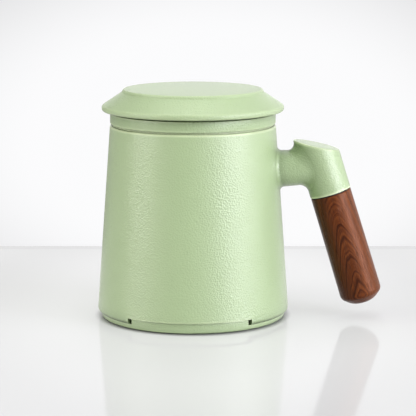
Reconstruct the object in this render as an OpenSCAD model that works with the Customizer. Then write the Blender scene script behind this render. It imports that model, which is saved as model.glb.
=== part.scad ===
// Lidded tea mug with an infuser: a double wall mug with a steel liner, a wooden side grip,
// a drop-in infuser that hangs on the rim, and a lid that plugs into the infuser's collar.
// The origin is on the table under the mug's centre. The handle points along +X.

/* [Mug body] */
// Height of the rim above the table
rim_z = 97; // [90:1:110]
// Width of the rim, from the liner's mouth to the wall's outside
rim_w = 4.65; // [4.2:0.05:5.5]
// How far the foot stands out past the rim
foot_flare = 6.7; // [4:0.1:10]
// Thickness of the outer wall
shell_wall = 2.5; // [2.2:0.1:3]
// Radius of the wall's lower edge
foot_round = 2; // [1.2:0.1:2.1]
// Radius of the rim's outer edge
rim_round = 1.1; // [0.3:0.1:1.2]
// Width of the flat rim between the rounded edge and the liner's flange
rim_land = 0.8; // [0.5:0.1:1.2]
// Thickness of the inner ledge that carries the liner
ledge_h = 2; // [1.5:0.1:3]

/* [Liner] */
// Inner diameter of the steel liner at its mouth
mouth_d = 73.6; // [68:0.2:80]
// How far the liner narrows from its mouth to its floor, on each side
liner_draft = 2.3; // [0.5:0.1:6]
// Height of the liner's floor above the table
liner_floor_z = 14; // [12:0.5:20]
// Thickness of the liner's steel
liner_wall = 0.6; // [0.4:0.05:1]
// Inner radius where the liner's wall meets its floor
liner_floor_round = 6; // [3:0.5:9]
// Height of the silicone seal under the liner's flange
liner_seal_h = 0.5; // [0.4:0.05:1]
// Diameter of the cushion between the liner and the base
cushion_d = 48; // [36:1:56]
// Height of the cushion between the liner and the base
cushion_h = 2; // [1:0.25:3]

/* [Base] */
// Height of the base cap's visible band
band_h = 2.3; // [2.2:0.1:4]
// How far the band stands back from the widest part of the wall
band_setback = 1.7; // [1:0.1:1.8]
// Radius of the band's lower edge
band_round = 0.7; // [0.3:0.1:1]
// Thickness of the base cap's floor
cap_floor_h = 2; // [1.5:0.1:3]
// Angle from the front to the middle of each slot beside a keyed tab
slot_turn = 38.6; // [25:0.2:50]
// Width of each slot beside a keyed tab
slot_w = 0.9; // [0.8:0.1:2]
// Height of the keyed tabs above the band
tab_h = 3; // [1.5:0.1:3]
// Number of snap hooks on the base cap
hook_count = 6; // [4:1:8]
// Width of the base cap's rim round the foot pad
pad_margin = 4.6; // [4:0.1:12]
// Thickness of the silicone foot pad
pad_h = 1.4; // [1:0.1:2]
// How far the foot pad stands below the base cap
pad_proud = 0.5; // [0.2:0.1:0.8]

/* [Handle arm] */
// Diameter of the round arm that leaves the wall
arm_d = 18.4; // [15:0.2:19.2]
// How much thinner the arm is at the elbow: its underside rises towards it
arm_thinning = 0.8; // [0:0.1:1.6]
// Drop from the rim to the arm's centre line
arm_drop = 22; // [18:0.1:30]
// Fillet between the arm and the wall
arm_fillet = 2.1; // [1.5:0.1:4]
// Diameter of the elbow that the grip hangs from
elbow_d = 20.8; // [20:0.2:23]
// Distance from the wall to the middle of the grip's upper end
grip_reach = 25.9; // [24:0.1:32]
// Drop from the arm's centre line to the middle of the grip's upper end
joint_drop = 11.9; // [11:0.1:16]
// Lean of the grip: its lower end stands out from the mug
grip_lean = 17.2; // [8:0.2:22]
// Length of the elbow along its centre line, up to its slanted top
elbow_h = 25.2; // [23.5:0.1:29]
// Angle between the elbow's slanted top and a square cut
elbow_slant = 29.4; // [10:0.1:32]
// Radius of the edge of the elbow's slanted top, on the side away from the mug
elbow_round = 0.5; // [0.4:0.1:2]
// Radius of the same edge at the elbow's tip, next to the mug
elbow_tip_round = 1.4; // [0.4:0.1:2]
// Fillet between the elbow and the top of the arm
elbow_fillet_top = 3.2; // [1.5:0.1:3.2]
// Fillet between the elbow and the underside of the arm
elbow_fillet_under = 4.6; // [3:0.1:5]
// Fillet between the elbow and the front and rear of the arm
elbow_fillet_side = 8.5; // [3:0.1:10]

/* [Grip] */
// Length of the wooden grip along its side
grip_l = 53.6; // [45:0.2:58]
// Diameter of the grip at its upper end
grip_top_d = 20.5; // [18:0.1:20.8]
// Diameter of the grip at its lower end
grip_end_d = 21.1; // [18:0.1:23]
// Height of the dome on the grip's lower end
grip_dome = 4.4; // [0.5:0.1:5]
// Radius of the edge round the dome
grip_end_round = 3.4; // [1:0.1:4]
// Radius of the edge at the grip's upper end
grip_top_round = 0.4; // [0.2:0.1:1]
// Thickness of the washer between the elbow and the grip
washer_h = 0.6; // [0.4:0.1:1.5]
// How far the washer stands back from the elbow's side
washer_setback = 0.5; // [0.2:0.1:1]
// Diameter of the threaded stud
stud_d = 6; // [4:0.5:7]
// Length of stud screwed into the elbow's insert
stud_up = 12; // [8:0.5:14]
// Length of stud screwed into the grip's insert
stud_down = 20; // [12:0.5:30]
// Outer diameter of the brass inserts
insert_d = 9; // [8.5:0.25:11]

/* [Infuser] */
// How far the infuser's collar stands back from the rim
collar_setback = 0.1; // [0:0.05:0.4]
// Height of the collar that stands on the rim
collar_h = 6.5; // [6:0.25:12]
// Thickness of the collar round the bore that takes the lid's plug
collar_wall = 3.35; // [2.7:0.05:3.85]
// Height of the ledge inside the collar that carries the basket
collar_ledge_h = 1.5; // [1:0.1:2]
// Radius of the collar's lower outer edge
collar_round = 0.8; // [0.3:0.1:1.2]
// Height of the shadow gap between the collar and the rim
collar_gap_h = 0.6; // [0.2:0.1:0.8]
// Depth of the skirt that goes down into the liner
skirt_h = 6; // [5.5:0.25:9]
// Thickness of the skirt
skirt_wall = 2.3; // [1.8:0.1:3]
// Height of the infuser's silicone gasket
gasket_h = 1.6; // [1.2:0.1:2.4]
// Depth of the groove that holds the gasket
gasket_groove = 0.8; // [0.5:0.1:1]
// How far the basket narrows from its top to its floor, on each side
basket_draft = 2.35; // [1.5:0.05:8]
// Thickness of the basket's steel
basket_wall = 0.5; // [0.4:0.05:0.8]
// Outer radius where the basket's wall meets its floor
basket_floor_round = 5; // [3:0.5:8]
// Space between the basket and the liner's floor
basket_floor_gap = 17.5; // [8:0.5:30]
// Width of the slots in the basket's wall
wall_slot_w = 1.1; // [0.8:0.1:1.6]
// Length of the slots in the basket's wall
wall_slot_l = 8.2; // [5:0.1:12]
// Distance between neighbouring slots round the basket
wall_slot_pitch = 5; // [4:0.1:8]
// Distance between one row of slots and the next
wall_row_gap = 3; // [2:0.1:6]
// Diameter of the holes in the basket's floor
hole_d = 1.8; // [1.2:0.1:2.4]
// Distance between neighbouring holes
hole_pitch = 6.2; // [5:0.1:9]

/* [Lid] */
// How far the lid's brim stands out past the collar
brim_overhang = 4.1; // [2.8:0.1:5.6]
// Radius of the edge between the brim and the cone
brim_round = 1.2; // [1:0.1:2]
// Radius of the brim's lower edge
brim_under_round = 1.2; // [0.5:0.1:1.5]
// Height of the shadow gap under the brim
brim_gap_h = 0.6; // [0.2:0.1:0.8]
// How far the shadow gap goes in over the collar
brim_gap_depth = 1.2; // [0.8:0.1:1.6]
// Height of the lid above the collar
lid_h = 11.4; // [9.5:0.1:14]
// Width of the lid's slope, from the edge of its flat top to the brim's edge
slope_w = 10.7; // [8.2:0.1:14]
// Height of the step round the flat top
plateau_step = 1.6; // [0.8:0.1:2]
// Radius of the edge round the flat top
plateau_round = 1.1; // [0.3:0.1:1.2]
// Slope of the cone between the flat top and the brim
cone_slope = 33.8; // [20:0.2:36]
// Thickness of the lid's cover
lid_wall = 2.2; // [1.6:0.1:2.8]
// Depth of the plug below the top of the collar
plug_depth = 3.8; // [3.4:0.1:4]
// Height of the plug above the top of the collar
plug_rise = 3; // [2:0.1:3.5]
// Thickness of the plug's wall and floor
plug_wall = 2; // [1.5:0.1:2.4]
// Height of the lid's silicone seal
lid_seal_h = 1.3; // [1:0.1:1.6]
// Depth of the groove that holds the lid's seal
lid_seal_groove = 1; // [0.6:0.1:1.2]

/* [Fits] */
// Space round a part that is dropped in by hand, such as the lid's plug
hand_fit = 0.5; // [0.3:0.05:0.7]
// Space between a moving seal and the wall it wipes
seal_fit = 0.15; // [0.1:0.05:0.25]
// Space round a part that is fitted once and stays
set_fit = 0.2; // [0.1:0.05:0.3]
// Gap of a visible seam
seam = 0.1; // [0.05:0.05:0.2]

/* [Hidden] */

green = [0.70, 0.79, 0.60];
dark_green = [0.64, 0.74, 0.54];
steel = [0.76, 0.77, 0.78];
brass = [0.80, 0.66, 0.36];
rosewood = [0.42, 0.20, 0.13];
silicone = [0.86, 0.87, 0.84];
dark_rubber = [0.20, 0.20, 0.20];

// Facets of full turns, of small radii and of the arm's skin
turn_fn = 144;
round_fn = 48;
bore_fn = 64;
hole_fn = 16;
skin_fn = 48;
skin_steps = 6;
elbow_fn = 60;
// A corner patch reaches this far past its corner
overshoot = 0.05;
// Overlap that joins two solids of one piece
weld = 1;
// Angles of the mug's front and rear; 0 is the handle's side
front = -90;
rear = 90;

// Outer wall of the mug
rim_r = mouth_d / 2 + rim_w;
foot_r = rim_r + foot_flare;
band_top = pad_proud + band_h;
foot_z = band_top + foot_round;
wall_slope = (foot_r - rim_r) / (rim_z - foot_z);
wall_lean = atan(wall_slope);
function wall_r(z) = rim_r + (rim_z - z) * wall_slope;
function inner_r(z) = wall_r(z) - shell_wall;

// Liner, its flange and the seat that carries them
steel_round = 0.3;
liner_flange_r = rim_r - rim_round - rim_land - set_fit;
seat_z = rim_z - liner_wall - liner_seal_h;
liner_slope = liner_draft / (rim_z - liner_floor_z);
ledge_r = mouth_d / 2 + liner_wall + set_fit;
function liner_r(z) = mouth_d / 2 - (rim_z - z) * liner_slope;

// Base cap
band_r = foot_r - band_setback;
band_draft = 0.3;
band_land = 0.5;
pad_r = band_r - pad_margin;
pad_seat_z = pad_h;
pad_round = 0.3;
pad_grooves = 3;
pad_groove_step = 6;
pad_groove_w = 1.2;
pad_groove_h = 0.4;
cap_floor_z = pad_seat_z + cap_floor_h;
cushion_z = liner_floor_z - liner_wall - cushion_h;
pedestal_wall = 2.5;
pedestal_r = cushion_d / 2 - 1;
pedestal_fillet = 1;
rib_count = 8;
rib_w = 1.6;
rib_h = 3;
ring_r = inner_r(band_top) - set_fit;
ring_wall = 2.4;
tab_top = band_top + tab_h;
tab_round = 0.3;
notch_top = tab_top + seam;
slot_angle = 2 * asin(slot_w / 2 / band_r);
window_sill = 0.15;
window_reach = 0.3;
window_half = 0.43 * slot_angle;
notch_half = slot_turn + slot_angle / 2;
tab_half = slot_turn - slot_angle / 2;

// Snap hooks on the cap and the bead that they catch in the shell
bead_z = band_top + 5;
bead_h = 1.3;
bead_depth = 0.8;
hook_wall = 1.6;
hook_barb = 0.6;
hook_h = 2;
hook_half = 11;
bead_r = inner_r(bead_z) - bead_depth;
hook_r = bead_r - set_fit;
hook_z = bead_z + bead_h + set_fit;

// Handle
arm_r = arm_d / 2;
neck_r = arm_r - arm_thinning / 2;
elbow_r = elbow_d / 2;
arm_z = rim_z - arm_drop;
neck_z = arm_z + arm_thinning / 2;
joint_x = wall_r(arm_z) + grip_reach;
joint_z = arm_z - joint_drop;
arm_sink = 1.1;
tangent_stop = 0.08;
elbow_round_steps = 5;
bolt_tip = 1;
washer_r = grip_top_d / 2 - washer_setback;
// The dome on the grip's end: flat in the middle, then a bend towards its sloping outer half
dome_half = grip_end_d / 4;
dome_slope = atan(grip_dome / dome_half);
bend_share = 0.6;
dome_bend = bend_share * dome_half / tan(dome_slope / 2);

// Infuser
collar_r = rim_r - collar_setback;
bore_r = collar_r - collar_wall;
collar_top = rim_z + collar_h;
collar_top_round = 0.7;
collar_bore_round = 0.4;
collar_gap_land = 0.2;
collar_gap_r = collar_r - collar_round - collar_gap_land;
collar_gap_top = rim_z + collar_gap_h;
collar_ledge_z = rim_z + collar_ledge_h;
skirt_z = rim_z - skirt_h;
skirt_r = liner_r(skirt_z) - hand_fit;
skirt_bore_r = skirt_r - skirt_wall;
skirt_round = 0.5;
groove_foot = 1.6;
seal_round = 0.4;
gasket_z = skirt_z + groove_foot;
groove_r = skirt_r - gasket_groove;
gasket_r = liner_r(gasket_z) - seal_fit;
basket_top_r = skirt_bore_r - hand_fit;
basket_floor_z = liner_floor_z + basket_floor_gap;
basket_flange_r = bore_r - set_fit;
snap_lip = 0.4;
snap_lip_z = collar_ledge_z + basket_wall;
basket_floor_r = basket_top_r - basket_draft;
basket_slope = basket_draft / (collar_ledge_z - basket_floor_z);
function basket_r(z) = basket_top_r - (collar_ledge_z - z) * basket_slope;
// Plain band of steel above and below the slots
basket_blank = 2;
first_slot_z = basket_floor_z + basket_floor_round + basket_blank;
slot_rows = floor((skirt_z - basket_blank - first_slot_z) / (wall_slot_l + wall_row_gap));
slots_per_row = floor(2 * PI * basket_floor_r / wall_slot_pitch);
slot_half_angle = asin(wall_slot_w / 2 / basket_floor_r);
hole_rings = floor((basket_floor_r - basket_floor_round) / hole_pitch);

// Lid
brim_r = collar_r + brim_overhang;
plateau_r = brim_r - slope_w;
lid_top = collar_top + lid_h;
step_z = lid_top - plateau_step;
cone_fall = tan(cone_slope);
step_splay = 0.7;
step_fillet = 0.8;
cone_top_r = plateau_r + step_splay;
function cone_z(r) = step_z - (r - cone_top_r) * cone_fall;
// The shadow gap and the two rounds are limited by the height of the brim
gap_share = 0.33;
round_share = 0.48;
brim_gap_r = collar_r - brim_gap_depth;
brim_gap_top = collar_top + min(brim_gap_h, gap_share * (cone_z(brim_r) - collar_top));
brim_side = cone_z(brim_r) - brim_gap_top;
brim_edge = min(brim_round, round_share * brim_side * tan(45 + cone_slope / 2));
brim_under = min(brim_under_round, round_share * brim_side);
plug_r = bore_r - hand_fit;
plug_z = collar_top - plug_depth;
plug_top = collar_top + plug_rise;
cover_bore_r = plug_r + seam;
rib_r = plug_r - plug_wall;
cone_drop = lid_wall / cos(cone_slope);
cover_ceiling = lid_top - lid_wall;
ceiling_r = cone_top_r - (cover_ceiling - step_z + cone_drop) / cone_fall;
plug_round = 1;
lid_groove_z = plug_z + groove_foot;
lid_groove_r = plug_r - lid_seal_groove;
lid_seal_r = bore_r - seal_fit;

// ---- Outlines with rounded corners ----

function toward(a, b) = (b - a) / norm(b - a);
function half_corner(a, p, b) = acos(toward(p, a) * toward(p, b)) / 2;
function round_centre(a, p, b, r) =
    p + toward([0, 0], toward(p, a) + toward(p, b)) * r / sin(half_corner(a, p, b));
function round_start(a, p, b, r) = p + toward(p, a) * r / tan(half_corner(a, p, b));

// The piece between the corner p and the circle that touches both its sides
module corner_patch(a, p, b, r) {
    centre = round_centre(a, p, b, r);
    difference() {
        polygon([p + toward(centre, p) * overshoot,
                 round_start(a, p, b, r), centre, round_start(b, p, a, r)]);
        translate(centre)
            circle(r, $fn = round_fn);
    }
}

// An outline whose corners are [x, y, radius]: a negative radius fills an inside corner
module outline(corners) {
    n = len(corners);
    p = [for (c = corners) [c.x, c.y]];
    difference() {
        union() {
            polygon(p);
            for (i = [0:n - 1])
                if (corners[i][2] < 0)
                    corner_patch(p[(i + n - 1) % n], p[i], p[(i + 1) % n], -corners[i][2]);
        }
        for (i = [0:n - 1])
            if (corners[i][2] > 0)
                corner_patch(p[(i + n - 1) % n], p[i], p[(i + 1) % n], corners[i][2]);
    }
}

module turned(corners) {
    rotate_extrude($fn = turn_fn)
        outline(corners);
}

// Part of a turned ring, from one angle to another
module sector(from, to, corners) {
    rotate([0, 0, from])
        rotate_extrude(angle = to - from, $fn = turn_fn)
            outline(corners);
}

// ---- Mug ----

module shell_wall_ring() {
    bead_top = bead_z + bead_h;
    turned([
        [inner_r(band_top), band_top, 0],
        [wall_r(band_top), band_top, foot_round],
        [rim_r, rim_z, rim_round],
        [rim_r - rim_round - rim_land, rim_z, 0],
        [rim_r - rim_round - rim_land, seat_z, 0],
        [ledge_r, seat_z, 0],
        [ledge_r, seat_z - ledge_h, 0],
        [inner_r(seat_z - 2 * ledge_h), seat_z - 2 * ledge_h, 0],
        [inner_r(bead_top + bead_depth), bead_top + bead_depth, 0],
        [bead_r, bead_top, 0],
        [bead_r, bead_z, 0],
        [inner_r(bead_z - bead_depth), bead_z - bead_depth, 0]
    ]);
}

// Front and rear cut-outs in the wall's foot for the base cap's tabs
module tab_notches() {
    for (middle = [front, rear])
        sector(middle - notch_half, middle + notch_half, [
            [ring_r - ring_wall, 0, 0],
            [foot_r + weld, 0, 0],
            [foot_r + weld, notch_top, 0],
            [ring_r - ring_wall, notch_top, 0]
        ]);
}

// The arm's skin: a ball rolls round the arm in the corner at each end and leaves a fillet.
// The angle a goes round the arm from its top.
function arm_side(a) = [0, -sin(a), -cos(a)];
function between(p, q, s) =
    let (w = acos(p * q))
    (sin((1 - s) * w) * p + sin(s * w) * q) / sin(w);

function wall_ball(a) =
    let (y = (arm_r + arm_fillet) * sin(a),
         z = arm_z + (arm_r + arm_fillet) * cos(a),
         reach = wall_r(z) + arm_fillet / cos(wall_lean))
    [sqrt(reach * reach - y * y), y, z];
function wall_side(a) =
    let (ball = wall_ball(a), turn = atan2(ball.y, ball.x))
    [-cos(wall_lean) * cos(turn), -cos(wall_lean) * sin(turn), -sin(wall_lean)];

function elbow_fillet(a) =
    let (level = elbow_fillet_top + (elbow_fillet_under - elbow_fillet_top) * (1 - cos(a)) / 2,
         swell = elbow_fillet_side - (elbow_fillet_top + elbow_fillet_under) / 2)
    level + swell * pow(sin(a), 2);
function elbow_ball(a) =
    let (y = (neck_r + elbow_fillet(a)) * sin(a),
         z = neck_z + (neck_r + elbow_fillet(a)) * cos(a),
         reach = elbow_r + elbow_fillet(a),
         across = -sqrt(reach * reach - y * y))
    [joint_x + (across - (z - joint_z) * sin(grip_lean)) / cos(grip_lean), y, z];
function elbow_side(a) =
    let (ball = elbow_ball(a),
         across = (ball.x - joint_x) * cos(grip_lean) + (ball.z - joint_z) * sin(grip_lean))
    -[across * cos(grip_lean), ball.y, across * sin(grip_lean)] / (elbow_r + elbow_fillet(a));

// A closed skin over rings of points that all have the same count, with a hub at each end
module skin(rings, first_hub, last_hub) {
    n = len(rings[0]);
    last = len(rings) - 1;
    points = concat([for (ring = rings) each ring], [first_hub, last_hub]);
    faces = concat(
        [for (k = [0:n - 1]) [(last + 1) * n, (k + 1) % n, k]],
        [for (i = [0:last - 1], k = [0:n - 1]) [i * n + k, i * n + (k + 1) % n, (i + 1) * n + k]],
        [for (i = [0:last - 1], k = [0:n - 1])
            [i * n + (k + 1) % n, (i + 1) * n + (k + 1) % n, (i + 1) * n + k]],
        [for (k = [0:n - 1]) [last * n + k, last * n + (k + 1) % n, (last + 1) * n + 1]]
    );
    polyhedron(points, faces, convexity = 6);
}

module arm() {
    shares = [for (k = [0:skin_steps]) (1 - tangent_stop) * k / skin_steps];
    turns = [for (k = [0:skin_fn - 1]) 360 * k / skin_fn];
    rings = concat(
        [[for (a = turns) wall_ball(a) + (arm_fillet + arm_sink) * wall_side(a)]],
        [for (k = [skin_steps:-1:0])
            [for (a = turns) wall_ball(a) + arm_fillet * between(arm_side(a), wall_side(a), shares[k])]],
        [for (share = shares)
            [for (a = turns)
                elbow_ball(a) + elbow_fillet(a) * between(arm_side(a), elbow_side(a), share)]],
        [[for (a = turns) elbow_ball(a) + (elbow_fillet(a) + arm_sink) * elbow_side(a)]]
    );
    skin(rings, [wall_r(arm_z) - shell_wall / 2, 0, arm_z], [joint_x - joint_drop / 4, 0, arm_z]);
}

// Puts its children on the grip's centre line: z is up along it, 0 at the elbow's end
module on_grip_line() {
    translate([joint_x, 0, joint_z])
        rotate([0, -grip_lean, 0])
            children();
}

// The radius of the edge round the elbow's slanted top; a is 0 on the side away from the mug
function elbow_edge(a) =
    elbow_round + (elbow_tip_round - elbow_round) * pow((1 - cos(a)) / 2, 3);

// The elbow ends in a slanted flat top with a rounded edge
module elbow() {
    fall = tan(elbow_slant);
    turns = [for (k = [0:elbow_fn - 1]) -360 * k / elbow_fn];
    swings = [for (k = [0:elbow_round_steps]) 90 * k / elbow_round_steps];
    rings = concat(
        [[for (a = turns) [elbow_r * cos(a), elbow_r * sin(a), 0]]],
        [for (swing = swings)
            [for (a = turns)
                let (r = elbow_r - elbow_edge(a) * (1 - cos(swing)),
                     h = elbow_h - elbow_edge(a) * (1 - sin(swing)))
                [r * cos(a), r * sin(a), h - r * cos(a) * fall]]]
    );
    on_grip_line()
        skin(rings, [0, 0, 0], [0, 0, elbow_h]);
}

module mug_shell() {
    color(green)
        difference() {
            union() {
                shell_wall_ring();
                arm();
                elbow();
            }
            tab_notches();
            on_grip_line()
                translate([0, 0, -weld])
                    cylinder(d = insert_d, h = stud_up + bolt_tip + weld, $fn = bore_fn);
        }
}

module mug_liner() {
    floor_under = liner_floor_z - liner_wall;
    color(steel)
        turned([
            [0, floor_under, 0],
            [liner_r(floor_under) + liner_wall, floor_under, liner_floor_round + liner_wall],
            [liner_r(rim_z - liner_wall) + liner_wall, rim_z - liner_wall, 0],
            [liner_flange_r, rim_z - liner_wall, 0],
            [liner_flange_r, rim_z, 0],
            [liner_r(rim_z), rim_z, steel_round],
            [liner_r(liner_floor_z), liner_floor_z, -liner_floor_round],
            [0, liner_floor_z, 0]
        ]);
}

module liner_seal() {
    color(silicone)
        turned([
            [ledge_r, seat_z, 0],
            [liner_flange_r, seat_z, 0],
            [liner_flange_r, seat_z + liner_seal_h, 0],
            [ledge_r, seat_z + liner_seal_h, 0]
        ]);
}

module liner_cushion() {
    color(dark_rubber)
        translate([0, 0, cushion_z])
            cylinder(d = cushion_d, h = cushion_h, $fn = turn_fn);
}

// ---- Base ----

// The floor, the band and, all round, the ring that centres the cap in the shell
module cap_plate() {
    turned([
        [0, pad_seat_z, 0],
        [pad_r + set_fit, pad_seat_z, 0],
        [pad_r + set_fit, pad_proud, 0],
        [band_r - band_draft, pad_proud, band_round],
        [band_r, band_top - band_land, 0],
        [band_r, tab_top, tab_round],
        [ring_r - ring_wall, tab_top, 0],
        [ring_r - ring_wall, cap_floor_z, 0],
        [pedestal_r, cap_floor_z, -pedestal_fillet],
        [pedestal_r, cushion_z, 0],
        [pedestal_r - pedestal_wall, cushion_z, 0],
        [pedestal_r - pedestal_wall, cap_floor_z, -pedestal_fillet],
        [0, cap_floor_z, 0]
    ]);
}

module cap_ribs() {
    for (k = [0:rib_count - 1])
        rotate([0, 0, 360 * (k + 0.5) / rib_count])
            translate([pedestal_r - pedestal_wall / 2, -rib_w / 2, cap_floor_z - weld])
                cube([ring_r - ring_wall / 2 - pedestal_r, rib_w, rib_h + weld]);
}

// The ring's outer part is cut away at both sides, which leaves a keyed tab front and rear.
// Beside each tab a window goes on through the ring.
module cap_cuts() {
    clear = tab_top + weld;
    for (tab = [[front, rear], [rear, 360 + front]])
        sector(tab[0] + tab_half, tab[1] - tab_half, [
            [ring_r, band_top, 0],
            [foot_r, band_top, 0],
            [foot_r, clear, 0],
            [ring_r, clear, 0]
        ]);
    for (middle = [front, rear], turn = [-slot_turn, slot_turn])
        sector(middle + turn - window_half, middle + turn + window_half, [
            [ring_r - ring_wall - weld, band_top + window_sill, 0],
            [ring_r + window_reach, band_top + window_sill, 0],
            [ring_r + window_reach, clear + weld, 0],
            [ring_r - ring_wall - weld, clear + weld, 0]
        ]);
}

module cap_hooks() {
    for (k = [0:hook_count - 1]) {
        middle = 360 * (k + 0.5) / hook_count;
        sector(middle - hook_half, middle + hook_half, [
            [hook_r - hook_wall, band_top - weld, 0],
            [hook_r, band_top - weld, 0],
            [hook_r, hook_z, 0],
            [hook_r + hook_barb, hook_z, 0],
            [hook_r, hook_z + hook_h, 0],
            [hook_r - hook_wall, hook_z + hook_h, 0]
        ]);
    }
}

module base_cap() {
    color(dark_green)
        difference() {
            union() {
                cap_plate();
                cap_ribs();
                cap_hooks();
            }
            cap_cuts();
        }
}

module base_pad() {
    color(silicone)
        difference() {
            turned([
                [0, 0, 0],
                [pad_r, 0, pad_round],
                [pad_r, pad_h, 0],
                [0, pad_h, 0]
            ]);
            for (k = [1:pad_grooves]) {
                groove_at = pad_r - k * pad_groove_step;
                turned([
                    [groove_at, -weld, 0],
                    [groove_at + pad_groove_w, -weld, 0],
                    [groove_at + pad_groove_w, pad_groove_h, 0],
                    [groove_at, pad_groove_h, 0]
                ]);
            }
        }
}

// ---- Grip ----

module threaded_insert(length) {
    difference() {
        cylinder(d = insert_d, h = length, $fn = bore_fn);
        translate([0, 0, -weld])
            cylinder(d = stud_d, h = length + 2 * weld, $fn = bore_fn);
    }
}

module arm_insert() {
    color(brass)
        on_grip_line()
            threaded_insert(stud_up);
}

module grip_insert() {
    color(brass)
        on_grip_line()
            translate([0, 0, -washer_h - stud_down])
                threaded_insert(stud_down);
}

module handle_stud() {
    color(steel)
        on_grip_line()
            translate([0, 0, -washer_h - stud_down])
                cylinder(d = stud_d, h = stud_down + washer_h + stud_up, $fn = bore_fn);
}

module handle_washer() {
    color(dark_rubber)
        on_grip_line()
            translate([0, 0, -washer_h])
                difference() {
                    cylinder(r = washer_r, h = washer_h, $fn = bore_fn);
                    translate([0, 0, -weld])
                        cylinder(d = stud_d, h = washer_h + 2 * weld, $fn = bore_fn);
                }
}

module handle_grip() {
    end_r = grip_end_d / 2;
    top = -washer_h;
    side_end = top - grip_l;
    dome_end = side_end - grip_dome;
    color(rosewood)
        on_grip_line()
            difference() {
                turned([
                    [0, dome_end, 0],
                    [dome_half, dome_end, dome_bend],
                    [end_r, side_end, grip_end_round],
                    [grip_top_d / 2, top, grip_top_round],
                    [0, top, 0]
                ]);
                translate([0, 0, top - stud_down - bolt_tip])
                    cylinder(d = insert_d, h = stud_down + bolt_tip + weld, $fn = bore_fn);
            }
}

// ---- Infuser ----

module infuser_collar() {
    color(green)
        turned([
            [skirt_bore_r, skirt_z, 0],
            [skirt_r, skirt_z, skirt_round],
            [skirt_r, gasket_z, 0],
            [groove_r, gasket_z, 0],
            [groove_r, gasket_z + gasket_h, 0],
            [skirt_r, gasket_z + gasket_h, 0],
            [skirt_r, rim_z, 0],
            [collar_gap_r, rim_z, 0],
            [collar_gap_r, collar_gap_top, 0],
            [collar_r, collar_gap_top, collar_round],
            [collar_r, collar_top, collar_top_round],
            [bore_r, collar_top, collar_bore_round],
            [bore_r, snap_lip_z + 2 * snap_lip, 0],
            [bore_r - snap_lip, snap_lip_z + snap_lip, 0],
            [bore_r - snap_lip, snap_lip_z, 0],
            [bore_r, snap_lip_z, 0],
            [bore_r, collar_ledge_z, 0],
            [skirt_bore_r, collar_ledge_z, 0]
        ]);
}

module basket_body() {
    turned([
        [0, basket_floor_z, 0],
        [basket_r(basket_floor_z), basket_floor_z, basket_floor_round],
        [basket_r(collar_ledge_z), collar_ledge_z, 0],
        [basket_flange_r, collar_ledge_z, 0],
        [basket_flange_r, collar_ledge_z + basket_wall, 0],
        [basket_r(collar_ledge_z) - basket_wall, collar_ledge_z + basket_wall, steel_round],
        [basket_r(basket_floor_z) - basket_wall, basket_floor_z + basket_wall,
            basket_wall - basket_floor_round],
        [0, basket_floor_z + basket_wall, 0]
    ]);
}

// Staggered rows of upright slots round the basket's wall
module basket_slots() {
    half = slot_half_angle;
    for (row = [0:slot_rows - 1], k = [0:slots_per_row - 1]) {
        middle = 360 * (k + (row % 2) / 2) / slots_per_row;
        foot = first_slot_z + row * (wall_slot_l + wall_row_gap);
        sector(middle - half, middle + half, [
            [basket_floor_r - basket_wall - weld, foot, 0],
            [basket_top_r + weld, foot, 0],
            [basket_top_r + weld, foot + wall_slot_l, 0],
            [basket_floor_r - basket_wall - weld, foot + wall_slot_l, 0]
        ]);
    }
}

// Rings of round holes in the basket's floor
module basket_holes() {
    for (ring = [0:hole_rings], k = [0:max(1, 6 * ring) - 1])
        rotate([0, 0, 360 * k / max(1, 6 * ring)])
            translate([ring * hole_pitch, 0, basket_floor_z - weld])
                cylinder(d = hole_d, h = basket_wall + 2 * weld, $fn = hole_fn);
}

module infuser_basket() {
    color(steel)
        difference() {
            basket_body();
            basket_slots();
            basket_holes();
        }
}

module infuser_gasket() {
    color(silicone)
        turned([
            [groove_r, gasket_z, 0],
            [gasket_r, gasket_z, seal_round],
            [gasket_r, gasket_z + gasket_h, seal_round],
            [groove_r, gasket_z + gasket_h, 0]
        ]);
}

// ---- Lid ----

module lid_cover() {
    color(green)
        turned([
            [0, lid_top, 0],
            [0, cover_ceiling, 0],
            [ceiling_r, cover_ceiling, 0],
            [rib_r, cone_z(rib_r) - cone_drop, 0],
            [rib_r, plug_top, 0],
            [cover_bore_r, plug_top, 0],
            [cover_bore_r, collar_top, 0],
            [brim_gap_r, collar_top, 0],
            [brim_gap_r, brim_gap_top, 0],
            [brim_r, brim_gap_top, brim_under],
            [brim_r, cone_z(brim_r), brim_edge],
            [cone_top_r, step_z, -step_fillet],
            [plateau_r, lid_top, plateau_round]
        ]);
}

module lid_plug() {
    color(green)
        turned([
            [0, plug_z, 0],
            [plug_r, plug_z, plug_round],
            [plug_r, lid_groove_z, 0],
            [lid_groove_r, lid_groove_z, 0],
            [lid_groove_r, lid_groove_z + lid_seal_h, 0],
            [plug_r, lid_groove_z + lid_seal_h, 0],
            [plug_r, plug_top, 0],
            [rib_r, plug_top, 0],
            [rib_r, plug_z + plug_wall, -plug_round],
            [0, plug_z + plug_wall, 0]
        ]);
}

module lid_seal() {
    color(silicone)
        turned([
            [lid_groove_r, lid_groove_z, 0],
            [lid_seal_r, lid_groove_z, seal_round],
            [lid_seal_r, lid_groove_z + lid_seal_h, seal_round],
            [lid_groove_r, lid_groove_z + lid_seal_h, 0]
        ]);
}

mug_shell();
mug_liner();
liner_seal();
liner_cushion();
base_cap();
base_pad();
arm_insert();
handle_stud();
handle_washer();
grip_insert();
handle_grip();
infuser_collar();
infuser_basket();
infuser_gasket();
lid_cover();
lid_plug();
lid_seal();
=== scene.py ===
import math

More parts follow.
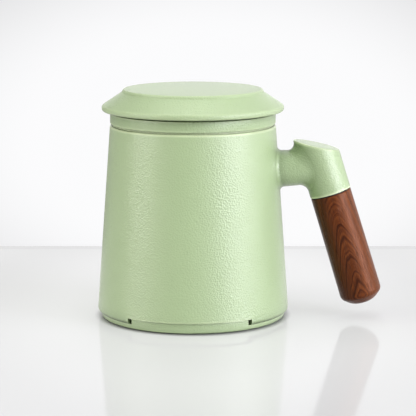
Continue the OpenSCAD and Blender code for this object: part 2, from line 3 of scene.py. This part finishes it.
import bpy
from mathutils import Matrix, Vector

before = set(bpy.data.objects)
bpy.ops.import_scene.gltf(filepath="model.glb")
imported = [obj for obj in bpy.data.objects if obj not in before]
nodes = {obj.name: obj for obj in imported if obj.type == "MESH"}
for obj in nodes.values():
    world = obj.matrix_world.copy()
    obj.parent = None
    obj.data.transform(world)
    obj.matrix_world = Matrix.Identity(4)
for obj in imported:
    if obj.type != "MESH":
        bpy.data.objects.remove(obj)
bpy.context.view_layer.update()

MM = 0.001


# ---- Values of the materials ----
# Scales of noises are per metre, and lengths are in metres. A fade of four numbers turns a value
# between the first two into one between the last two.

# Most of what a noise gives lies between these two
NOISE_LOW, NOISE_HIGH = 0.3, 0.7

# Moulded plastic: its tone, with wide clouds and small dark specks
GREEN = (0.453, 0.590, 0.315)
PLASTIC_IOR, PLASTIC_SPECULAR = 1.5, 0.5
PLASTIC_CLOUDS, PALE_CLOUD, DARK_CLOUD = 95.0, 1.01, 0.99
SPECKS, SPECK_TONE, SPECK_FADE = 1500.0, 0.72, (0.42, 0.6, 0.0, 0.06)
# Its leather grain: cells that a wider noise bends, and a finer noise on top
GRAIN_CELLS, GRAIN_FINE, GRAIN_BENDS = 1250.0, 2600.0, 420.0
GRAIN_SOFTNESS, GRAIN_BEND = 0.35, 0.8 * MM
GRAIN_CELL_DEPTH, GRAIN_FINE_DEPTH = 0.15 * MM, 0.07 * MM
GRAIN_SHINE = (0.1, 0.8, 0.33, 0.43)
COAT_ROUGHNESS = 0.25
# Its shade: how far it looks for other surfaces, and how the open share of that turns into shade
SHADE_SAMPLES, SHADE_TONE = 8, 0.30
NOOK_REACH, NOOK_FADE = 35 * MM, (0.35, 0.92, 0.36, 0.0)
CORNER_REACH, CORNER_FADE = 9 * MM, (0.30, 0.95, 1.0, 0.0)
# Its painted edge highlights: pale, but neither in a corner nor, for the most part, near the
# table
EDGE_REACH, EDGE_FADE = 1.6 * MM, (0.5, 0.95, 1.0, 0.0)
EDGE_HIGHLIGHT_TONE, PALEST = 1.9, 0.97
OUT_OF_CORNERS = (0.40, 0.65, 0.0, 1.0)
OFF_THE_TABLE = (20 * MM, 50 * MM, 0.25, 1.0)
# Heights between which a painted highlight starts on the shell's rim, under the collar that
# stands on it
RIM_HIGHLIGHT_BAND = (95.6 * MM, 96.1 * MM)

# Rosewood: where the grip's centre line starts, and how far it leans out from the mug
GRIP_START = (68.96 * MM, 0, 63.1 * MM)
GRIP_LEAN = math.radians(17.2)
WOOD_IOR, WOOD_SPECULAR, WOOD_TINT = 1.5, 0.36, (1.0, 0.56, 0.40, 1)
# The rings' own axis passes in front of the grip, so they surface as arches on its front
RING_AXIS = (0, -34 * MM, 0)
RING_LEAN = (math.radians(9.5), math.radians(-1.2), 0)
RINGS, RING_SHARE = 2500.0, 0.7
WIDE_RINGS, WIDE_RING_SHARE = 480.0, 0.3
RING_SWAYS, RING_SWAY = (90, 90, 22), (3 * MM, 3 * MM, 0.0)
RING_TONES = ((0.36, (0.040, 0.008, 0.002)), (0.44, (0.098, 0.022, 0.006)),
              (0.52, (0.158, 0.038, 0.009)), (0.62, (0.230, 0.062, 0.016)))
# Painted shade on the side towards the mug, and painted light on the other
MUG_SIDE_SHADE, MUG_SIDE_SHADE_FADE = (0.040, 0.007, 0.001), (-8.5 * MM, -0.5 * MM, 0.62, 0.0)
FAR_SIDE_LIGHT, FAR_SIDE_LIGHT_FADE = (0.300, 0.095, 0.030), (1.5 * MM, 6.5 * MM, 0.0, 0.35)
FIBRES, FIBRE_TONE = (2000, 2000, 80), (0.030, 0.009, 0.004)
FIBRE_FADE = (0.35, 0.62, 0.38, 0.0)
PORES, PORE_TONE, PORE_SHARE = (4200, 4200, 190), (0.016, 0.008, 0.006), 0.55
PORE_FADE = (0.30, 0.42, 1.0, 0.0)
WOOD_ROUGHEST, WOOD_SMOOTHEST, WOOD_DEPTH = 0.34, 0.25, 0.04 * MM

# Metal: fine lines that are close together along one axis of the piece
LINES_ROUND, LINES_ACROSS = (60, 60, 5200), (5200, 60, 60)
LINE_DEPTH, LINE_SMOOTHER, LINE_ROUGHER = 0.012 * MM, 0.05, 0.07
METAL_HAZE, HAZE_TONE = 120.0, 0.94

# Silicone and rubber
RUBBER_IOR = 1.42
RUBBER_CLOUDS, RUBBER_CLOUD_TONE = 160.0, 0.93
DUST, DUST_ROUGHNESS, DUST_DEPTH = 3200.0, 0.06, 0.02 * MM

# Table: matt under a thin gloss, with a duller bounce than what the camera sees
TABLE_TONE, TABLE_CLOUDS, TABLE_CLOUD_TONE = 0.46, 3.0, 1.02
TABLE_BOUNCE = 0.31
TABLE_ROUGHNESS = 0.5
GLOSS, GLOSS_ROUGHNESS = 0.20, 0.09
# The table's glow: a wide pool of light round the mug, and none right under it
TABLE_GLOW, GLOW_FAR = 0.43, 0.79
GLOW_CENTRE = (8.5 * MM, 11 * MM, 0.0)
GLOW_SPREAD = (0.154, 0.286, 1.0)
GLOW_FALL = (0.46, 0.86)
CONTACT_SHADE = (45.5 * MM, 50.5 * MM)


# ---- Values of the staging ----

# The table ends a little behind the mug, in a strip of painted shade along its edge
TABLE_REACH, TABLE_BACK, TABLE_EDGE, EDGE_TONE = 3.0, 181 * MM, 10 * MM, 0.92
WHITE = (1, 1, 1, 1)
WALL_WHITE = (0.99, 0.99, 1.0, 1)
# The bright middle of the wall as a direction, and how the wall falls off away from it
WALL_SPREAD = (0.587, 1.0, 1.0)
WALL_CENTRE = (-0.0184, 0.99, -0.1327)
WALL_FALL = (0.0542, 0.1652, 0.98, 0.50)
WALL_DIMMEST = 0.76
# The same part of the wall as the table mirrors it, and its light
WALL_MIRRORED = (0.0, 0.985, 0.17)
WALL_MIRRORED_FALL = (0.20, 0.45, 0.75, 0.0)
# What each side of the room adds to its light
ROOM_SIDES = (((1, 0, 0), 0.87), ((-1, 0, 0), 0.27), ((0, 1, 0), 0.27), ((0, -1, 0), 0.07))
# Where the softboxes point, and how far away they stand
MIDDLE = (0.0, 0.0, 55 * MM)
LIGHT_DISTANCE = 2.2
COOL, PLAIN, WARM = (0.985, 0.975, 1.08), (1.0, 1.0, 1.0), (1.0, 0.99, 0.94)
# Each softbox: name, turn from the front, angle above the table, width, height, power, tint
SOFTBOXES = (
    ("right_key", 60, 10, 0.45, 1.6, 24.2, COOL),
    ("right_side", 76, 10, 0.45, 1.6, 14.8, COOL),
    ("right_front", 45, 15, 0.9, 1.6, 10.0, COOL),
    ("front", 25, 15, 0.9, 1.6, 2.9, PLAIN),
    ("left_key", -70, 10, 0.45, 1.6, 20.5, WARM),
    ("left_front", -50, 15, 0.9, 1.6, 7.4, WARM),
    ("top", 0, 90, 0.7, 0.7, 6.8, PLAIN),
    ("top_front", 0, 55, 0.9, 0.9, 2.8, PLAIN),
    ("top_rear", 180, 55, 0.9, 0.9, 7.5, PLAIN),
    ("top_left", -90, 55, 0.9, 0.9, 7.8, PLAIN),
)
# The camera, as it was fitted to the photograph
VIEW_TURN, VIEW_TILT = math.radians(2.0), math.radians(80.236)
VIEW_FROM = (0.0398, -0.9238, 0.2136)
FOCAL_LENGTH, SENSOR_WIDTH = 161.2, 36.0
CLIP_NEAR, CLIP_FAR = 0.05, 20.0


# ---- Materials ----

class Nodes:
    """The shader nodes of a material or a world, with short calls that add and join them."""

    # The numbers of a colour Mix node's sockets
    SHARE, FIRST, SECOND, RESULT = 0, 6, 7, 2

    def __init__(self, owner):
        owner.use_nodes = True
        self.tree = owner.node_tree
        self.tree.nodes.clear()

    def add(self, kind, settings=None, **inputs):
        """Adds a node. In the name of an input, _ stands for a space."""
        node = self.tree.nodes.new("ShaderNode" + kind)
        for key, value in (settings or {}).items():
            setattr(node, key, value)
        for key, value in inputs.items():
            self.feed(node, key.replace("_", " "), value)
        return node

    def feed(self, node, key, value):
        """Joins an output to a node's input, or sets the input to a value."""
        socket = node.inputs[key]
        if isinstance(value, bpy.types.NodeSocket):
            self.tree.links.new(value, socket)
        else:
            socket.default_value = value

    def fed(self, kind, settings, *values):
        """Adds a node whose inputs are fed in their order."""
        node = self.add(kind, settings)
        for k, value in enumerate(values):
            self.feed(node, k, value)
        return node

    def math(self, operation, *values):
        return self.fed("Math", {"operation": operation}, *values).outputs[0]

    def vector(self, operation, *values):
        """Vector maths that gives a vector."""
        return self.fed("VectorMath", {"operation": operation}, *values).outputs["Vector"]

    def measure(self, operation, *values):
        """Vector maths that gives a number."""
        return self.fed("VectorMath", {"operation": operation}, *values).outputs["Value"]

    def ranged(self, value, low, high, to_low, to_high, kind="LINEAR"):
        return self.add("MapRange", {"interpolation_type": kind}, Value=value, From_Min=low,
                        From_Max=high, To_Min=to_low, To_Max=to_high).outputs[0]

    def blended(self, share, first, second):
        """Two shaders, with the share of the second one."""
        return self.fed("MixShader", None, share, first, second).outputs[0]


class Look(Nodes):
    """A procedural material, laid out in the object's own coordinates."""

    def __init__(self, name, **shader):
        self.material = bpy.data.materials.new(name)
        super().__init__(self.material)
        self.shader = self.add("BsdfPrincipled", **shader)
        self.out = self.add("OutputMaterial", Surface=self.shader.outputs[0])
        self.place = self.add("TexCoord").outputs["Object"]

    def mapped(self, location=(0, 0, 0), rotation=(0, 0, 0), scale=(1, 1, 1), kind="POINT",
               of=None):
        return self.add("Mapping", {"vector_type": kind}, Vector=of or self.place,
                        Location=location, Rotation=rotation, Scale=scale).outputs[0]

    def noise(self, scale, detail, rough, vector=None):
        return self.add("TexNoise", Vector=vector or self.place, Scale=scale, Detail=detail,
                        Roughness=rough).outputs["Fac"]

    def rings(self, radius, scale, detail, rough):
        """Noise that only changes with the radius."""
        return self.add("TexNoise", {"noise_dimensions": "1D"}, W=radius, Scale=scale,
                        Detail=detail, Roughness=rough).outputs["Fac"]

    def shifts(self, vector, scale):
        """Noise with a value of its own for each axis."""
        return self.add("TexNoise", Vector=vector, Scale=scale, Detail=2.0).outputs["Color"]

    def spread(self, noise, low=0.0, high=1.0):
        """Stretches what a noise gives to the range from low to high."""
        return self.ranged(noise, NOISE_LOW, NOISE_HIGH, low, high)

    def openness(self, reach, **settings):
        """How open the space round a point is: 1 where nothing is within reach."""
        return self.add("AmbientOcclusion", {"samples": SHADE_SAMPLES, **settings},
                        Distance=reach).outputs["AO"]

    def ramp(self, value, stops):
        node = self.add("ValToRGB", Fac=value)
        bar = node.color_ramp.elements
        bar[0].position, bar[0].color = stops[0][0], (*stops[0][1], 1)
        bar[1].position, bar[1].color = stops[-1][0], (*stops[-1][1], 1)
        for place, colour in stops[1:-1]:
            bar.new(place).color = (*colour, 1)
        return node.outputs[0]

    def mixed(self, share, first, second):
        """Two colours, with the share of the second one."""
        node = self.add("Mix", {"data_type": "RGBA"})
        self.feed(node, self.SHARE, share)
        for key, colour in ((self.FIRST, first), (self.SECOND, second)):
            joined = isinstance(colour, bpy.types.NodeSocket)
            self.feed(node, key, colour if joined else (*colour, 1))
        return node.outputs[self.RESULT]

    def bump(self, height, distance, **under):
        return self.add("Bump", Height=height, Distance=distance, Strength=1.0,
                        **under).outputs[0]

    def finish(self, colour, roughness, normal):
        self.feed(self.shader, "Base Color", colour)
        self.feed(self.shader, "Roughness", roughness)
        self.feed(self.shader, "Normal", normal)
        return self.material


def toned(colour, share):
    return tuple(c * share for c in colour)


def moulded_plastic(name, tone, grain=1.0, own_corners=False, coat=1.0, rim_highlight=0.0):
    """Coloured plastic with the fine leather grain that its mould was etched with.

    own_corners keeps other pieces out of the painted shade in its corners, coat is how much
    clear gloss it has, and rim_highlight is how strong a painted highlight is above the rim's
    height.
    """
    look = Look(name, IOR=PLASTIC_IOR, Specular_IOR_Level=PLASTIC_SPECULAR, Coat_Weight=coat,
                Coat_Roughness=COAT_ROUGHNESS)
    bent = look.vector("MULTIPLY_ADD", look.shifts(look.place, GRAIN_BENDS), (GRAIN_BEND,) * 3,
                       look.place)
    cells = look.add("TexVoronoi", {"feature": "SMOOTH_F1"}, Vector=bent, Scale=GRAIN_CELLS,
                     Smoothness=GRAIN_SOFTNESS, Randomness=1.0).outputs["Distance"]
    fine = look.noise(GRAIN_FINE, detail=2.0, rough=0.6)
    cloud = look.noise(PLASTIC_CLOUDS, detail=3.0, rough=0.6)
    colour = look.mixed(look.spread(cloud), toned(tone, DARK_CLOUD), toned(tone, PALE_CLOUD))
    specks = look.ranged(look.noise(SPECKS, detail=1.0, rough=0.5), *SPECK_FADE)
    colour = look.mixed(specks, colour, toned(tone, SPECK_TONE))
    # Painted shade: darker in the corners and seams, where other surfaces are near
    dark = tuple(c * c * SHADE_TONE for c in tone)
    nook = look.openness(NOOK_REACH, only_local=True)
    colour = look.mixed(look.ranged(nook, *NOOK_FADE), colour, dark)
    corner = look.openness(CORNER_REACH, only_local=own_corners)
    colour = look.mixed(look.ranged(corner, *CORNER_FADE), colour, dark)
    # Painted highlights: paler on rounded edges and above the shell's rim
    edge = look.openness(EDGE_REACH, only_local=True, inside=True)
    exposed = look.ranged(corner, *OUT_OF_CORNERS)
    height = look.add("SeparateXYZ", Vector=look.place).outputs["Z"]
    painted_edges = look.math("MULTIPLY", look.ranged(edge, *EDGE_FADE), exposed)
    painted_edges = look.math("MULTIPLY", painted_edges, look.ranged(height, *OFF_THE_TABLE))
    painted_rim = look.math("MULTIPLY", look.ranged(height, *RIM_HIGHLIGHT_BAND, 0.0, rim_highlight), exposed)
    colour = look.mixed(look.math("MAXIMUM", painted_edges, painted_rim), colour,
                        tuple(min(c, PALEST) for c in toned(tone, EDGE_HIGHLIGHT_TONE)))
    normal = look.bump(fine, GRAIN_FINE_DEPTH * grain,
                       Normal=look.bump(cells, GRAIN_CELL_DEPTH * grain))
    look.feed(look.shader, "Coat Normal", normal)
    return look.finish(colour, look.ranged(cells, *GRAIN_SHINE), normal)


def rosewood(name):
    """Turned rosewood: growth rings about an axis that leans a little from the grip's own."""
    look = Look(name, IOR=WOOD_IOR, Specular_IOR_Level=WOOD_SPECULAR, Specular_Tint=WOOD_TINT)
    along = look.mapped(GRIP_START, (0, -GRIP_LEAN, 0), kind="TEXTURE")
    sway = look.shifts(look.mapped(scale=RING_SWAYS, of=along), 1.0)
    swayed = look.vector("MULTIPLY_ADD", sway, RING_SWAY, along)
    x, y, _ = look.add("SeparateXYZ", Vector=look.mapped(RING_AXIS, RING_LEAN, kind="TEXTURE",
                                                         of=swayed)).outputs
    radius = look.math("SQRT", look.math("ADD", look.math("MULTIPLY", x, x),
                                         look.math("MULTIPLY", y, y)))
    narrow = look.rings(radius, RINGS, detail=2.0, rough=0.55)
    wide = look.rings(radius, WIDE_RINGS, detail=1.0, rough=0.5)
    rings = look.math("ADD", look.math("MULTIPLY", narrow, RING_SHARE),
                      look.math("MULTIPLY", wide, WIDE_RING_SHARE))
    colour = look.ramp(rings, RING_TONES)
    across = look.add("SeparateXYZ", Vector=swayed).outputs["X"]
    # Painted shade on the side towards the mug, and painted light on the far side
    colour = look.mixed(look.ranged(across, *MUG_SIDE_SHADE_FADE, "SMOOTHSTEP"), colour, MUG_SIDE_SHADE)
    colour = look.mixed(look.ranged(across, *FAR_SIDE_LIGHT_FADE, "SMOOTHSTEP"), colour, FAR_SIDE_LIGHT)
    fibres = look.noise(1.0, detail=3.0, rough=0.6, vector=look.mapped(scale=FIBRES, of=along))
    colour = look.mixed(look.ranged(fibres, *FIBRE_FADE), colour, FIBRE_TONE)
    pores = look.noise(1.0, detail=1.0, rough=0.5, vector=look.mapped(scale=PORES, of=along))
    pits = look.ranged(pores, *PORE_FADE)
    colour = look.mixed(look.math("MULTIPLY", pits, PORE_SHARE), colour, PORE_TONE)
    return look.finish(colour, look.spread(fibres, WOOD_ROUGHEST, WOOD_SMOOTHEST),
                       look.bump(look.math("SUBTRACT", fibres, pits), WOOD_DEPTH))


def brushed_metal(name, tone, rough, drawn):
    """Metal with fine lines: drawn is how close together they are along x, y and z."""
    look = Look(name, Metallic=1.0)
    lines = look.noise(1.0, detail=3.0, rough=0.65, vector=look.mapped(scale=drawn))
    haze = look.noise(METAL_HAZE, detail=3.0, rough=0.6)
    return look.finish(look.mixed(look.spread(haze), toned(tone, HAZE_TONE), tone),
                       look.spread(lines, rough - LINE_SMOOTHER, rough + LINE_ROUGHER),
                       look.bump(lines, LINE_DEPTH))


def soft_rubber(name, tone, rough):
    """Matt silicone or rubber, a little cloudy and dusty."""
    look = Look(name, IOR=RUBBER_IOR)
    cloud = look.noise(RUBBER_CLOUDS, detail=3.0, rough=0.6)
    dust = look.noise(DUST, detail=2.0, rough=0.6)
    return look.finish(look.mixed(look.spread(cloud), toned(tone, RUBBER_CLOUD_TONE), tone),
                       look.spread(dust, rough - DUST_ROUGHNESS, rough + DUST_ROUGHNESS),
                       look.bump(dust, DUST_DEPTH))


looks = {
    "green_shell": moulded_plastic("green_shell", GREEN, rim_highlight=0.5),
    "green_base": moulded_plastic("green_base", toned(GREEN, 0.96), grain=0.8,
                                  own_corners=True),
    "green_lid": moulded_plastic("green_lid", GREEN, grain=1.3, coat=0.75),
    "wood_grip": rosewood("rosewood_grip"),
    "liner_steel": brushed_metal("liner_steel", (0.72, 0.72, 0.71), 0.30, LINES_ROUND),
    "basket_steel": brushed_metal("basket_steel", (0.70, 0.70, 0.69), 0.26, LINES_ROUND),
    "stud_steel": brushed_metal("stud_steel", (0.60, 0.60, 0.60), 0.35, LINES_ROUND),
    "brass_insert": brushed_metal("brass_insert", (0.72, 0.52, 0.25), 0.32, LINES_ACROSS),
    "clear_silicone": soft_rubber("clear_silicone", (0.66, 0.68, 0.64), 0.42),
    "grey_silicone": soft_rubber("grey_silicone", (0.34, 0.35, 0.34), 0.50),
    "dark_rubber": soft_rubber("dark_rubber", (0.03, 0.03, 0.03), 0.55),
}


# ---- Shading of the CAD nodes ----

# Points that are closer than this are one point, and edges sharper than this stay sharp
MERGE_DISTANCE = 0.0005 * MM
SHARP_EDGE = math.radians(24)


def soft_edge_group():
    """Joins loose facets, smooths them and keeps the edges that are sharper than a limit."""
    tree = bpy.data.node_groups.new("soft_edges", "GeometryNodeTree")
    for in_out in ("INPUT", "OUTPUT"):
        tree.interface.new_socket("Geometry", in_out=in_out,
                                  socket_type="NodeSocketGeometry")
    start, end, merge, smooth, crease, angle, sharp = (tree.nodes.new(kind) for kind in (
        "NodeGroupInput", "NodeGroupOutput", "GeometryNodeMergeByDistance",
        "GeometryNodeSetShadeSmooth", "GeometryNodeSetShadeSmooth",
        "GeometryNodeInputMeshEdgeAngle", "FunctionNodeCompare"))
    merge.inputs["Distance"].default_value = MERGE_DISTANCE
    smooth.domain = "FACE"
    crease.domain = "EDGE"
    crease.inputs["Shade Smooth"].default_value = False
    sharp.data_type = "FLOAT"
    sharp.operation = "GREATER_THAN"
    sharp.inputs[1].default_value = SHARP_EDGE
    for output, socket in (
            (start.outputs[0], merge.inputs["Geometry"]),
            (merge.outputs[0], smooth.inputs["Geometry"]),
            (smooth.outputs[0], crease.inputs["Geometry"]),
            (angle.outputs[0], sharp.inputs[0]),
            (sharp.outputs[0], crease.inputs["Selection"]),
            (crease.outputs[0], end.inputs[0])):
        tree.links.new(output, socket)
    return tree


NODE_LOOKS = {
    "mug_shell": "green_shell", "mug_liner": "liner_steel", "liner_seal": "clear_silicone",
    "liner_cushion": "dark_rubber", "base_cap": "green_base", "base_pad": "grey_silicone",
    "arm_insert": "brass_insert", "grip_insert": "brass_insert", "handle_stud": "stud_steel",
    "handle_washer": "dark_rubber", "handle_grip": "wood_grip", "infuser_collar": "green_lid",
    "infuser_basket": "basket_steel", "infuser_gasket": "clear_silicone",
    "lid_cover": "green_lid", "lid_plug": "green_lid", "lid_seal": "clear_silicone",
}
soft_edges = soft_edge_group()
for name, node in nodes.items():
    node.data.materials.clear()
    node.data.materials.append(looks[NODE_LOOKS[name]])
    shading = node.modifiers.new("soft_edges", "NODES")
    shading.node_group = soft_edges


# ---- Table, light and camera ----

def glossy_table(name, tone, glow):
    """Pale matt acrylic with a painted glow round the mug, under a thin even gloss."""
    look = Look(name, Roughness=TABLE_ROUGHNESS, Specular_IOR_Level=0.0, Emission_Color=WHITE)
    bounce = look.add("LightPath").outputs["Is Diffuse Ray"]
    cloud = look.noise(TABLE_CLOUDS, detail=2.0, rough=0.5)
    pale = look.mixed(cloud, (tone,) * 3, (tone * TABLE_CLOUD_TONE,) * 3)
    look.feed(look.shader, "Base Color", look.mixed(bounce, pale, (TABLE_BOUNCE,) * 3))
    # The painted glow fades with the distance from the pool's middle, and stops at the mug's
    # foot in a painted contact shadow
    pool = look.measure("LENGTH", look.mapped(GLOW_CENTRE, scale=GLOW_SPREAD, kind="TEXTURE"))
    spread = look.ranged(pool, *GLOW_FALL, glow, glow * GLOW_FAR, "SMOOTHSTEP")
    away = look.measure("LENGTH", look.place)
    shade = look.ranged(away, *CONTACT_SHADE, 0.0, 1.0, "SMOOTHSTEP")
    lit = look.math("MULTIPLY", look.math("SUBTRACT", 1.0, bounce),
                    look.math("MULTIPLY", spread, shade))
    look.feed(look.shader, "Emission Strength", lit)
    gloss = look.add("BsdfGlossy", Roughness=GLOSS_ROUGHNESS)
    both = look.blended(GLOSS, look.shader.outputs[0], gloss.outputs[0])
    look.feed(look.out, "Surface", both)
    return look.material


def table_top():
    """The table: a large top that ends in a narrow strip of painted shade at its back."""
    rows = (-TABLE_REACH, TABLE_BACK - TABLE_EDGE, TABLE_BACK)
    mesh = bpy.data.meshes.new("table_top")
    mesh.from_pydata([(x, y, 0) for y in rows for x in (-TABLE_REACH, TABLE_REACH)], [],
                     [(0, 1, 3, 2), (2, 3, 5, 4)])
    table = bpy.data.objects.new("table_top", mesh)
    table.rotation_euler.z = VIEW_TURN
    bpy.context.scene.collection.objects.link(table)
    mesh.materials.append(glossy_table("pale_table", TABLE_TONE, TABLE_GLOW))
    mesh.materials.append(glossy_table("table_edge", EDGE_TONE * TABLE_TONE,
                                       EDGE_TONE * TABLE_GLOW))
    mesh.polygons[1].material_index = 1


def soft_light(name, turn, height_angle, width, height, power, tint):
    """A softbox that faces the mug: turn is 0 at the front and grows towards the handle."""
    data = bpy.data.lights.new(name, "AREA")
    data.shape = "RECTANGLE"
    data.size, data.size_y = width, height
    data.energy = power
    data.color = tint
    lamp = bpy.data.objects.new(name, data)
    bpy.context.scene.collection.objects.link(lamp)
    turn, height_angle = math.radians(turn), math.radians(height_angle)
    away = Vector((math.sin(turn) * math.cos(height_angle),
                   -math.cos(turn) * math.cos(height_angle), math.sin(height_angle)))
    lamp.location = Vector(MIDDLE) + away * LIGHT_DISTANCE
    lamp.rotation_euler = away.to_track_quat("Z", "Y").to_euler()


def surroundings():
    """White room: the camera sees a wall that falls off sideways, the rest gets soft light."""
    world = bpy.data.worlds.new("white_room")
    bpy.context.scene.world = world
    sky = Nodes(world)
    direction = sky.add("TexCoord").outputs["Generated"]
    off_axis = sky.measure("DISTANCE", sky.vector("MULTIPLY", direction, WALL_SPREAD),
                           WALL_CENTRE)
    wall = sky.math("MAXIMUM", sky.ranged(off_axis, *WALL_FALL, "SMOOTHSTEP"), WALL_DIMMEST)
    seen = sky.add("Background", Color=WALL_WHITE, Strength=wall)
    behind = sky.measure("DISTANCE", direction, WALL_MIRRORED)
    total = sky.ranged(behind, *WALL_MIRRORED_FALL, "SMOOTHSTEP")
    for axis, share in ROOM_SIDES:
        toward = sky.math("MAXIMUM", sky.measure("DOT_PRODUCT", direction, axis), 0.0)
        total = sky.math("MULTIPLY_ADD", toward, share, total)
    around = sky.add("Background", Color=WHITE, Strength=total)
    from_camera = sky.add("LightPath").outputs["Is Camera Ray"]
    sky.add("OutputWorld", Surface=sky.blended(from_camera, around.outputs[0],
                                               seen.outputs[0]))


def photo_camera():
    lens = bpy.data.cameras.new("photo_camera")
    lens.lens = FOCAL_LENGTH
    lens.sensor_width = SENSOR_WIDTH
    lens.clip_start, lens.clip_end = CLIP_NEAR, CLIP_FAR
    camera = bpy.data.objects.new("photo_camera", lens)
    bpy.context.scene.collection.objects.link(camera)
    camera.location = VIEW_FROM
    camera.rotation_euler = (VIEW_TILT, 0.0, VIEW_TURN)
    return camera


table_top()
surroundings()
for softbox in SOFTBOXES:
    soft_light(*softbox)
bpy.context.scene.camera = photo_camera()
bpy.context.scene.view_settings.view_transform = "Standard"
